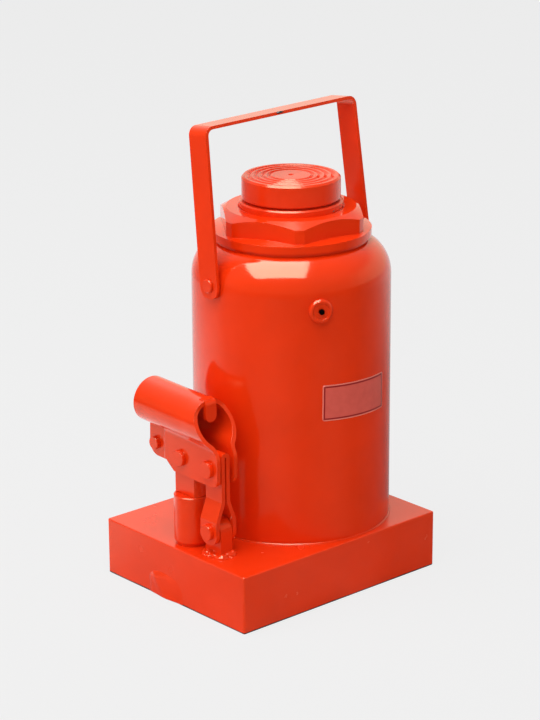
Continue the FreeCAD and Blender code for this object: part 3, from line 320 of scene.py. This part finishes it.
def make_world():
    """Pale surround for the camera, dimmer for diffuse light and graded for reflections."""
    world = bpy.data.worlds.new("studio")
    world.use_nodes = True
    tree = world.node_tree
    tree.nodes.clear()
    path = tree.nodes.new("ShaderNodeLightPath")
    direction = tree.nodes.new("ShaderNodeTexCoord")
    parts = tree.nodes.new("ShaderNodeSeparateXYZ")
    link_nodes(tree, direction, "Generated", parts, "Vector")
    sky = blend(tree, parts, "Z", HORIZON_SINE, ZENITH_SINE,
                by_azimuth(tree, direction, "Generated", HORIZON_MIRRORED, HORIZON_TINT),
                by_azimuth(tree, direction, "Generated", ZENITH_MIRRORED))
    by_gloss = pick(tree, path, "Is Glossy Ray", grey(tree, AMBIENT), 0, sky, 2)
    seen = pick(tree, path, "Is Camera Ray", by_gloss, 2, grey(tree, BACKDROP), 0)
    shade = tree.nodes.new("ShaderNodeBackground")
    link_nodes(tree, seen, 2, shade, "Color")
    out = tree.nodes.new("ShaderNodeOutputWorld")
    link_nodes(tree, shade, "Background", out, "Surface")
    bpy.context.scene.world = world


def mirrored_level(tree):
    """Radiance of the floor in reflections, by azimuth round the object and distance from it."""
    place = tree.nodes.new("ShaderNodeNewGeometry")
    reach = tree.nodes.new("ShaderNodeVectorMath")
    reach.operation = "LENGTH"
    link_nodes(tree, place, "Position", reach, 0)
    return blend(tree, reach, "Value", FLOOR_NEAR, FLOOR_FAR,
                 by_azimuth(tree, place, "Position", FLOOR_MIRRORED),
                 by_azimuth(tree, place, "Position", FLOOR_DISTANT))


def make_floor():
    """Plain pale floor that keeps a soft shadow of the object."""
    mesh = bpy.data.meshes.new("floor")
    half = FLOOR_HALF
    mesh.from_pydata([(-half, -half, 0), (half, -half, 0), (half, half, 0), (-half, half, 0)], [],
                     [(0, 1, 2, 3)])
    floor = bpy.data.objects.new("floor", mesh)
    bpy.context.scene.collection.objects.link(floor)
    material = bpy.data.materials.new("studio_floor")
    material.use_nodes = True
    tree = material.node_tree
    tree.nodes.clear()
    out = tree.nodes.new("ShaderNodeOutputMaterial")
    path = tree.nodes.new("ShaderNodeLightPath")
    bounce = tree.nodes.new("ShaderNodeBsdfDiffuse")
    bounce.inputs["Color"].default_value = FLOOR_BOUNCE
    shadow = tree.nodes.new("ShaderNodeBsdfDiffuse")
    shadow.inputs["Color"].default_value = FLOOR_SHADOW
    glow = tree.nodes.new("ShaderNodeEmission")
    glow.inputs["Strength"].default_value = FLOOR_GLOW
    seen = tree.nodes.new("ShaderNodeAddShader")
    link_nodes(tree, shadow, "BSDF", seen, 0)
    link_nodes(tree, glow, "Emission", seen, 1)
    mirrored = tree.nodes.new("ShaderNodeEmission")
    link_nodes(tree, mirrored_level(tree), 2, mirrored, "Color")
    by_gloss = tree.nodes.new("ShaderNodeMixShader")
    link_nodes(tree, path, "Is Glossy Ray", by_gloss, "Fac")
    link_nodes(tree, bounce, "BSDF", by_gloss, 1)
    link_nodes(tree, mirrored, "Emission", by_gloss, 2)
    by_camera = tree.nodes.new("ShaderNodeMixShader")
    link_nodes(tree, path, "Is Camera Ray", by_camera, "Fac")
    link_nodes(tree, by_gloss, "Shader", by_camera, 1)
    link_nodes(tree, seen, "Shader", by_camera, 2)
    link_nodes(tree, by_camera, "Shader", out, "Surface")
    mesh.materials.append(material)


class Shader:
    """A material under construction, with helpers for the few nodes that it needs."""

    def __init__(self, name):
        self.material = bpy.data.materials.new(name)
        self.material.use_nodes = True
        self.tree = self.material.node_tree
        self.surface = self.tree.nodes["Principled BSDF"]
        self.place = self.node("ShaderNodeTexCoord").outputs["Object"]

    def node(self, kind, **settings):
        made = self.tree.nodes.new(kind)
        for key, value in settings.items():
            setattr(made, key, value)
        return made

    def join(self, source, target):
        self.tree.links.new(source, target)

    def height(self):
        made = self.node("ShaderNodeSeparateXYZ")
        self.join(self.place, made.inputs["Vector"])
        return made.outputs["Z"]

    def noise(self, scale, detail=2.0, roughness=0.5):
        made = self.node("ShaderNodeTexNoise")
        made.inputs["Scale"].default_value = scale
        made.inputs["Detail"].default_value = detail
        made.inputs["Roughness"].default_value = roughness
        self.join(self.place, made.inputs["Vector"])
        return made.outputs["Fac"]

    def span(self, value, low, high, to_low, to_high):
        """Value mapped from low..high to to_low..to_high, held at the ends."""
        made = self.node("ShaderNodeMapRange", clamp=True)
        made.inputs["From Min"].default_value = low
        made.inputs["From Max"].default_value = high
        made.inputs["To Min"].default_value = to_low
        made.inputs["To Max"].default_value = to_high
        self.join(value, made.inputs["Value"])
        return made.outputs["Result"]

    def maths(self, operation, first, second):
        made = self.node("ShaderNodeMath", operation=operation)
        for socket, value in zip(made.inputs, (first, second)):
            if isinstance(value, (int, float)):
                socket.default_value = value
            else:
                self.join(value, socket)
        return made.outputs[0]

    def mix(self, share, first, second):
        """Colour between two colours, each a triple or a socket."""
        made = self.node("ShaderNodeMix", data_type="RGBA")
        for socket, value in zip((made.inputs[6], made.inputs[7]), (first, second)):
            if isinstance(value, tuple):
                socket.default_value = (*value, 1.0)
            else:
                self.join(value, socket)
        self.join(share, made.inputs[0])
        return made.outputs[2]

    def bump(self, height, distance, below=None):
        made = self.node("ShaderNodeBump")
        made.inputs["Strength"].default_value = 1.0
        made.inputs["Distance"].default_value = distance
        self.join(height, made.inputs["Height"])
        if below is not None:
            self.join(below, made.inputs["Normal"])
        return made.outputs["Normal"]

    def soft_edges(self, radius):
        made = self.node("ShaderNodeBevel", samples=4)
        made.inputs["Radius"].default_value = radius
        return made.outputs["Normal"]


def enamel(name, roughness, peel, wave=0.0, grit=0.0, edge=0.0006, bare_and_shadow_below=None,
           bare=GROUND_STEEL):
    """Sprayed red enamel: orange peel, drifting gloss, and the unevenness of the metal below.

    The jack was sprayed once assembled, so the ram and the plunger are bare metal below the height
    bare_and_shadow_below; on the base the dark metal band below that height is painted contact shadow along
    the foot.
    """
    shader = Shader(name)
    surface = shader.surface
    surface.inputs["IOR"].default_value = ENAMEL_IOR
    surface.inputs["Specular Tint"].default_value = (*ENAMEL_MIRROR_TINT, 1.0)
    drift = shader.noise(DRIFT_SCALE, 3.0)
    deep = tuple(c * ENAMEL_DEEP for c in ENAMEL)
    bright = tuple(c * ENAMEL_BRIGHT for c in ENAMEL)
    colour = shader.mix(shader.span(drift, 0.3, 0.7, 0.0, 1.0), deep, bright)
    gloss = shader.span(shader.noise(GLOSS_SCALE, 4.0), 0.3, 0.7, roughness * 0.8, roughness * 1.25)
    if bare_and_shadow_below is not None:
        # Below the line: bare metal on the ram and the plunger; on the base, a dark band of painted contact
        # shadow.
        waver = shader.span(drift, 0.3, 0.7, -PAINT_EDGE_WAVER, PAINT_EDGE_WAVER)
        ragged = shader.maths("ADD", shader.height(), waver)
        steel = shader.span(ragged, bare_and_shadow_below - PAINT_EDGE_SOFT, bare_and_shadow_below, 1.0, 0.0)
        dull = tuple(c * 0.86 for c in bare)
        colour = shader.mix(steel, colour, shader.mix(shader.noise(METAL_SCALE, 3.0), dull, bare))
        mirror_tint = shader.mix(steel, ENAMEL_MIRROR_TINT, NEUTRAL)
        shader.join(mirror_tint, surface.inputs["Specular Tint"])
        shader.join(steel, surface.inputs["Metallic"])
        gloss = shader.maths("ADD", gloss, shader.maths("MULTIPLY", steel, GROUND_STEEL_SATIN))
    shader.join(colour, surface.inputs["Base Color"])
    shader.join(gloss, surface.inputs["Roughness"])
    normal = shader.soft_edges(edge)
    if wave:
        normal = shader.bump(shader.noise(WAVE_SCALE, 2.0), wave, normal)
    if grit:
        normal = shader.bump(shader.noise(GRIT_SCALE, 5.0, 0.65), grit, normal)
    normal = shader.bump(shader.noise(PEEL_SCALE, 2.0), peel, normal)
    shader.join(normal, surface.inputs["Normal"])
    return shader.material


def bare_metal(name, colour, roughness):
    """Oiled machined steel with fine turning marks."""
    shader = Shader(name)
    surface = shader.surface
    surface.inputs["Metallic"].default_value = 1.0
    drift = shader.noise(METAL_SCALE, 3.0)
    dark = tuple(c * 0.85 for c in colour)
    shader.join(shader.mix(drift, dark, colour), surface.inputs["Base Color"])
    shader.join(shader.span(drift, 0.3, 0.7, roughness * 0.8, roughness * 1.2),
                surface.inputs["Roughness"])
    shader.join(shader.bump(shader.noise(TURNING_SCALE, 2.0), TURNING_DEPTH), surface.inputs["Normal"])
    return shader.material


def plain_soft(name, colour, roughness, sheen=0.5):
    """Rubber and polymer of the hidden seals, and the near-black disc of painted shade in the filler plug's
    hole.
    """
    shader = Shader(name)
    surface = shader.surface
    light = tuple(min(1.0, c * 1.2) for c in colour)
    shader.join(shader.mix(shader.noise(250.0, 3.0), colour, light), surface.inputs["Base Color"])
    surface.inputs["Roughness"].default_value = roughness
    surface.inputs["Specular IOR Level"].default_value = sheen
    shader.join(shader.bump(shader.noise(1200.0, 3.0), 0.00001), surface.inputs["Normal"])
    return shader.material


def dress(material, *names):
    """Gives nodes their material in every slot."""
    for name in names:
        mesh = nodes[name].data
        mesh.materials.clear()
        mesh.materials.append(material)


def make_materials():
    """Dresses every node, and returns the enamel that the added welds share."""
    glossy = enamel("enamel_tank", 0.11, 0.000016, wave=0.00012)
    dress(glossy, "reservoir_tank", "filler_plug", "tank_gasket")
    dress(enamel("enamel_bead", 0.12, 0.00002, grit=0.00025), "tank_weld")
    turned = enamel("enamel_turned", 0.07, 0.000016, edge=0.00015)
    dress(turned, "gland_nut")
    dress(enamel("enamel_saddle", 0.21, 0.00003, wave=0.00006, edge=0.00012), "saddle")
    ram_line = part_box("gland_nut")[1][2] - NUT_MOUTH_BARE
    dress(enamel("enamel_ram", 0.21, 0.00002, edge=0.00012, bare_and_shadow_below=ram_line), "ram")
    # The dark metal band up the base's foot is painted contact shadow along its bottom edge.
    forged = enamel("enamel_base", 0.22, 0.000012, edge=0.0005, bare_and_shadow_below=FOOT_SHADOW_HEIGHT,
                    bare=FOOT_SHADOW_STEEL)
    dress(forged, "base_plate", "gallery_weld", "gallery_plugs")
    dress(enamel("enamel_pump", 0.20, 0.000016, edge=0.00010), "pump_cylinder", "pump_gasket")
    plunger_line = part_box("pump_cylinder")[1][2]
    dress(enamel("enamel_plunger", 0.20, 0.000016, edge=0.00010, bare_and_shadow_below=plunger_line),
          "pump_plunger")
    pressed = enamel("enamel_pressed", 0.10, 0.000016, wave=0.00005, edge=0.0003)
    dress(pressed, "handle_socket", "socket_rivet", "plunger_pin", "link_top_pin", "link_strap",
          "link_bottom_pin", "link_lug", "lug_weld", "bail_handle", "bail_pivot_studs",
          "release_valve_screw", "safety_valve_cap")
    steel = bare_metal("machined_steel", (0.55, 0.56, 0.58), 0.28)
    dress(steel, "suction_valve_ball", "discharge_valve_ball", "discharge_valve_plug",
          "release_valve_ball", "safety_valve_ball", "safety_valve_screw", "pressure_cylinder")
    dress(bare_metal("spring_steel", (0.38, 0.38, 0.40), 0.35), "discharge_valve_spring",
          "safety_valve_spring", "saddle_snap_ring")
    dress(bare_metal("soft_gasket", (0.72, 0.73, 0.75), 0.4), "cylinder_gasket")
    dress(bare_metal("brass_mesh", (0.72, 0.55, 0.25), 0.4), "oil_strainer")
    dress(plain_soft("seal_rubber", (0.03, 0.03, 0.03), 0.55), "release_valve_seal", "gland_seal",
          "wiper_ring", "piston_seal", "pump_seal")
    dress(plain_soft("guide_polymer", (0.80, 0.78, 0.68), 0.5), "piston_guide_ring")
    return pressed


def tank_point(azimuth, height, lift):
    """Point over the tank wall; the azimuth runs from +X towards +Y."""
    angle = math.radians(azimuth)
    reach = TANK_R + lift
    return Vector((reach * math.cos(angle), reach * math.sin(angle), height))


def make_label(material):
    """Bare sticker film, wrapped on the tank a little askew."""
    across, down = 40, 24
    wide, tall = LABEL_SIZE
    mesh = bmesh.new()
    layer = mesh.loops.layers.uv.new("label")
    rows = []
    for j in range(down + 1):
        row = []
        for i in range(across + 1):
            v = (1.0 - math.cos(math.pi * j / down)) / 2
            inside = min(v, 1.0 - v) * tall
            cut = max(0.0, LABEL_CORNER_R - inside)
            inset = (LABEL_CORNER_R - math.sqrt(LABEL_CORNER_R ** 2 - cut ** 2)) / wide
            u = inset + (1.0 - 2 * inset) * i / across
            top = [a + (b - a) * u for a, b in zip(*LABEL_TOP)]
            foot = [a + (b - a) * u for a, b in zip(*LABEL_FOOT)]
            azimuth, height = [a + (b - a) * v for a, b in zip(top, foot)]
            row.append((mesh.verts.new(tank_point(azimuth, height, LABEL_LIFT)), (u, 1.0 - v)))
        rows.append(row)
    for j in range(down):
        for i in range(across):
            quad = [rows[j + 1][i], rows[j + 1][i + 1], rows[j][i + 1], rows[j][i]]
            face = mesh.faces.new([vert for vert, place in quad])
            face.smooth = True
            for loop, (vert, place) in zip(face.loops, quad):
                loop[layer].uv = place
    data = bpy.data.meshes.new("tank_label")
    mesh.to_mesh(data)
    mesh.free()
    label = bpy.data.objects.new("tank_label", data)
    bpy.context.scene.collection.objects.link(label)
    data.materials.append(material)
    thick = label.modifiers.new("film", "SOLIDIFY")
    thick.thickness = LABEL_THICK
    thick.offset = -1.0
    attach(label, "jack_body")


def label_film():
    """Dull film tinted by the enamel below, with a thin dark frame line printed near its edge."""
    shader = Shader("label_film")
    surface = shader.surface
    uv = shader.node("ShaderNodeUVMap", uv_map="label").outputs["UV"]
    parts = shader.node("ShaderNodeSeparateXYZ")
    shader.join(uv, parts.inputs["Vector"])
    edges = []
    for socket, length in zip("XY", LABEL_SIZE):
        away = shader.maths("ABSOLUTE", shader.maths("SUBTRACT", parts.outputs[socket], 0.5), 0.0)
        edges.append(shader.maths("MULTIPLY", shader.maths("SUBTRACT", 0.5, away), length))
    inset = shader.maths("MINIMUM", edges[0], edges[1])
    start, end = LABEL_LINE
    line = shader.maths("MULTIPLY", shader.span(inset, start, start + LABEL_LINE_SOFT, 0.0, 1.0),
                        shader.span(inset, end - LABEL_LINE_SOFT, end, 1.0, 0.0))
    film = shader.mix(shader.noise(180.0, 4.0), *LABEL_FILM)
    outer = shader.mix(shader.span(inset, 0.0, LABEL_RIM, 1.0, 0.0), film, LABEL_RIM_PALE)
    shader.join(shader.mix(line, outer, LABEL_LINE_INK), surface.inputs["Base Color"])
    surface.inputs["Roughness"].default_value = 0.3
    surface.inputs["IOR"].default_value = 1.45
    shader.join(shader.bump(shader.noise(500.0, 3.0), 0.00001), surface.inputs["Normal"])
    return shader.material


def add_piece(mesh, name, body, material):
    """Object from a finished bmesh, smooth, riding on a body."""
    for face in mesh.faces:
        face.smooth = True
    bmesh.ops.recalc_face_normals(mesh, faces=mesh.faces)
    data = bpy.data.meshes.new(name)
    mesh.to_mesh(data)
    mesh.free()
    data.materials.append(material)
    piece = bpy.data.objects.new(name, data)
    bpy.context.scene.collection.objects.link(piece)
    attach(piece, body)
    return piece


def bead_section(spot, outward, ground):
    """Closed section of the weld: a dome from the wall down to the base, uneven along its run."""
    where = Vector((spot[0], spot[1], 0.0)) * BEAD_WAVES
    width = BEAD_WIDTH + BEAD_UNEVEN * noise.noise(where)
    height = BEAD_HEIGHT + BEAD_UNEVEN * noise.noise(where + Vector((9.0, 4.0, 2.0)))
    steps = 9
    section = [(width * math.sin(k / steps * math.pi / 2), height * math.cos(k / steps * math.pi / 2))
               for k in range(steps + 1)]
    section += [(width, -BEAD_SUNK), (-BEAD_INSIDE, -BEAD_SUNK), (-BEAD_INSIDE, height)]
    return [Vector((spot[0] + outward[0] * away, spot[1] + outward[1] * away, ground + up))
            for away, up in section]


def make_lug_weld(material):
    """Hand-laid weld round the lug's foot, with the drops of spatter that stayed on it."""
    low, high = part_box("link_lug")
    half = ((high.x - low.x) / 2, (high.y - low.y) / 2)
    middle = ((high.x + low.x) / 2, (high.y + low.y) / 2)
    mesh = bmesh.new()
    around = 160
    rows = []
    spots = []
    for i in range(around):
        turn = 2 * math.pi * i / around
        side = (math.cos(turn), math.sin(turn))
        reach = (abs(side[0] / half[0]) ** 8 + abs(side[1] / half[1]) ** 8) ** -0.125
        slope = [abs(side[k] * reach / half[k]) ** 7 * math.copysign(1.0, side[k]) / half[k] for k in (0, 1)]
        size = math.hypot(*slope)
        outward = (slope[0] / size, slope[1] / size)
        spot = (middle[0] + side[0] * reach, middle[1] + side[1] * reach)
        spots.append((spot, outward))
        rows.append([mesh.verts.new(point) for point in bead_section(spot, outward, low.z)])
    for i, row in enumerate(rows):
        after = rows[(i + 1) % around]
        for j in range(len(row)):
            mesh.faces.new((row[j], row[(j + 1) % len(row)], after[(j + 1) % len(row)], after[j]))
    draw = random.Random(11)
    for drop in range(SPATTER_DROPS):
        spot, outward = spots[draw.randrange(around)]
        away = draw.uniform(*SPATTER_AWAY)
        radius = draw.uniform(*SPATTER_R)
        at = Vector((spot[0] + outward[0] * away, spot[1] + outward[1] * away, low.z))
        at.z += max(0.0, BEAD_HEIGHT * (1.0 - away / BEAD_WIDTH) * 0.7)
        flat = Matrix.Diagonal((draw.uniform(0.9, 1.7), draw.uniform(0.9, 1.5), draw.uniform(0.6, 0.9), 1.0))
        bmesh.ops.create_icosphere(mesh, subdivisions=3, radius=radius, matrix=Matrix.Translation(at) @ flat)
    weld = add_piece(mesh, "lug_weld_bead", "jack_body", material)
    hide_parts("lug_weld")


def between(stops, place):
    """Value at a place on the straight lines from stop to stop."""
    for (x0, y0), (x1, y1) in zip(stops, stops[1:]):
        if place <= x1:
            share = (place - x0) / (x1 - x0)
            return y0 + (y1 - y0) * share
    return stops[-1][1]


def make_ground_weld(material):
    """Weld over the plugs in the front face, ground to a low ridge that leans across it."""
    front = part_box("base_plate")[0].y
    columns, rows = 64, 36
    mesh = bmesh.new()
    first, last = GROUND_WELD_TOP[0][0], GROUND_WELD_TOP[-1][0]
    sheets = [[], []]
    for i in range(columns + 1):
        x = first + (last - first) * i / columns
        top = between(GROUND_WELD_TOP, x)
        proud_row, hidden_row = [], []
        for j in range(rows + 1):
            up = j / rows
            z = GROUND_WELD_FOOT + (top - GROUND_WELD_FOOT) * up
            lean = (GROUND_WELD_RIDGE[0] - GROUND_WELD_RIDGE[1]) * z / GROUND_WELD_HEIGHT
            ridge = GROUND_WELD_RIDGE[1] + lean
            side = (x - first) / (ridge - first) if x < ridge else (last - x) / (last - ridge)
            rim = min(1.0, (1.0 - up) * GROUND_WELD_RIM)
            fall = math.sin(side * math.pi / 2) if x < ridge else side ** GROUND_WELD_HOLLOW
            swell = fall * math.sin(rim * math.pi / 2)
            if x < ridge:
                swell += GROUND_WELD_RIPPLE * math.sin(side * 3 * math.pi) * rim * (1.0 - side)
            y = front + GROUND_WELD_LIFT - GROUND_WELD_PROUD * max(0.0, swell)
            proud_row.append(mesh.verts.new((x, y, z)))
            hidden_row.append(mesh.verts.new((x, front + GROUND_WELD_DEPTH, z)))
        sheets[0].append(proud_row)
        sheets[1].append(hidden_row)
    for sheet in sheets:
        for i in range(columns):
            for j in range(rows):
                mesh.faces.new((sheet[i][j], sheet[i + 1][j],
                                sheet[i + 1][j + 1], sheet[i][j + 1]))
    proud, hidden = sheets
    for i in range(columns):
        for j in (0, rows):
            mesh.faces.new((proud[i][j], proud[i + 1][j], hidden[i + 1][j], hidden[i][j]))
    for j in range(rows):
        for i in (0, columns):
            mesh.faces.new((proud[i][j], proud[i][j + 1], hidden[i][j + 1], hidden[i][j]))
    weld = add_piece(mesh, "gallery_weld_ground", "jack_body", material)
    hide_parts("gallery_weld")


def make_chip(name, body, centre, normal, length, height, material):
    """Thin ragged patch of bare metal where the paint has come off."""
    along = Vector((0.0, 1.0, 0.0))
    out = Vector(normal).normalized()
    run = (along - out * along.dot(out)).normalized()
    rise = out.cross(run)
    mesh = bmesh.new()
    rims = []
    for lift in CHIP_LIFTS:
        draw = random.Random(name)
        rim = []
        for i in range(CHIP_CORNERS):
            turn = 2 * math.pi * i / CHIP_CORNERS
            ragged = draw.uniform(0.72, 1.0)
            rim.append(mesh.verts.new(Vector(centre) + out * lift
                                      + run * (math.cos(turn) * ragged * length / 2)
                                      + rise * (math.sin(turn) * ragged * height / 2)))
        rims.append(rim)
    mesh.faces.new(rims[0])
    mesh.faces.new(rims[1])
    for i in range(CHIP_CORNERS):
        j = (i + 1) % CHIP_CORNERS
        mesh.faces.new((rims[0][i], rims[0][j], rims[1][j], rims[1][i]))
    add_piece(mesh, name, body, material)


def make_plug_core(material):
    """Near-black disc at the bottom of the filler plug's blind hole: painted shade of the deep hole."""
    angle = math.radians(PLUG_AZIMUTH)
    outward = Vector((math.cos(angle), math.sin(angle), 0.0))
    at = outward * (PLUG_FACE - CORE_SUNK) + Vector((0.0, 0.0, PLUG_HEIGHT))
    turn = outward.to_track_quat("Z", "Y").to_matrix().to_4x4()
    mesh = bmesh.new()
    bmesh.ops.create_cone(mesh, cap_ends=True, segments=32, radius1=CORE_R, radius2=CORE_R,
                          depth=CORE_THICK, matrix=Matrix.Translation(at) @ turn)
    add_piece(mesh, "filler_core_painted_shade", "jack_body", material)


def make_marks():
    """Paint chips on the bail's bar and on the ram's ring."""
    bare = bare_metal("chipped_steel", (0.10, 0.11, 0.11), 0.4)
    for chip in CHIPS:
        make_chip(*chip, bare)


bpy.context.scene.view_settings.view_transform = "Standard"
make_camera()
make_world()
make_lights()
make_floor()
pressed_enamel = make_materials()
make_label(label_film())
make_lug_weld(pressed_enamel)
make_ground_weld(pressed_enamel)
make_plug_core(plain_soft("core_painted_shade", (0.003, 0.002, 0.002), 0.9, 0.0))
make_marks()
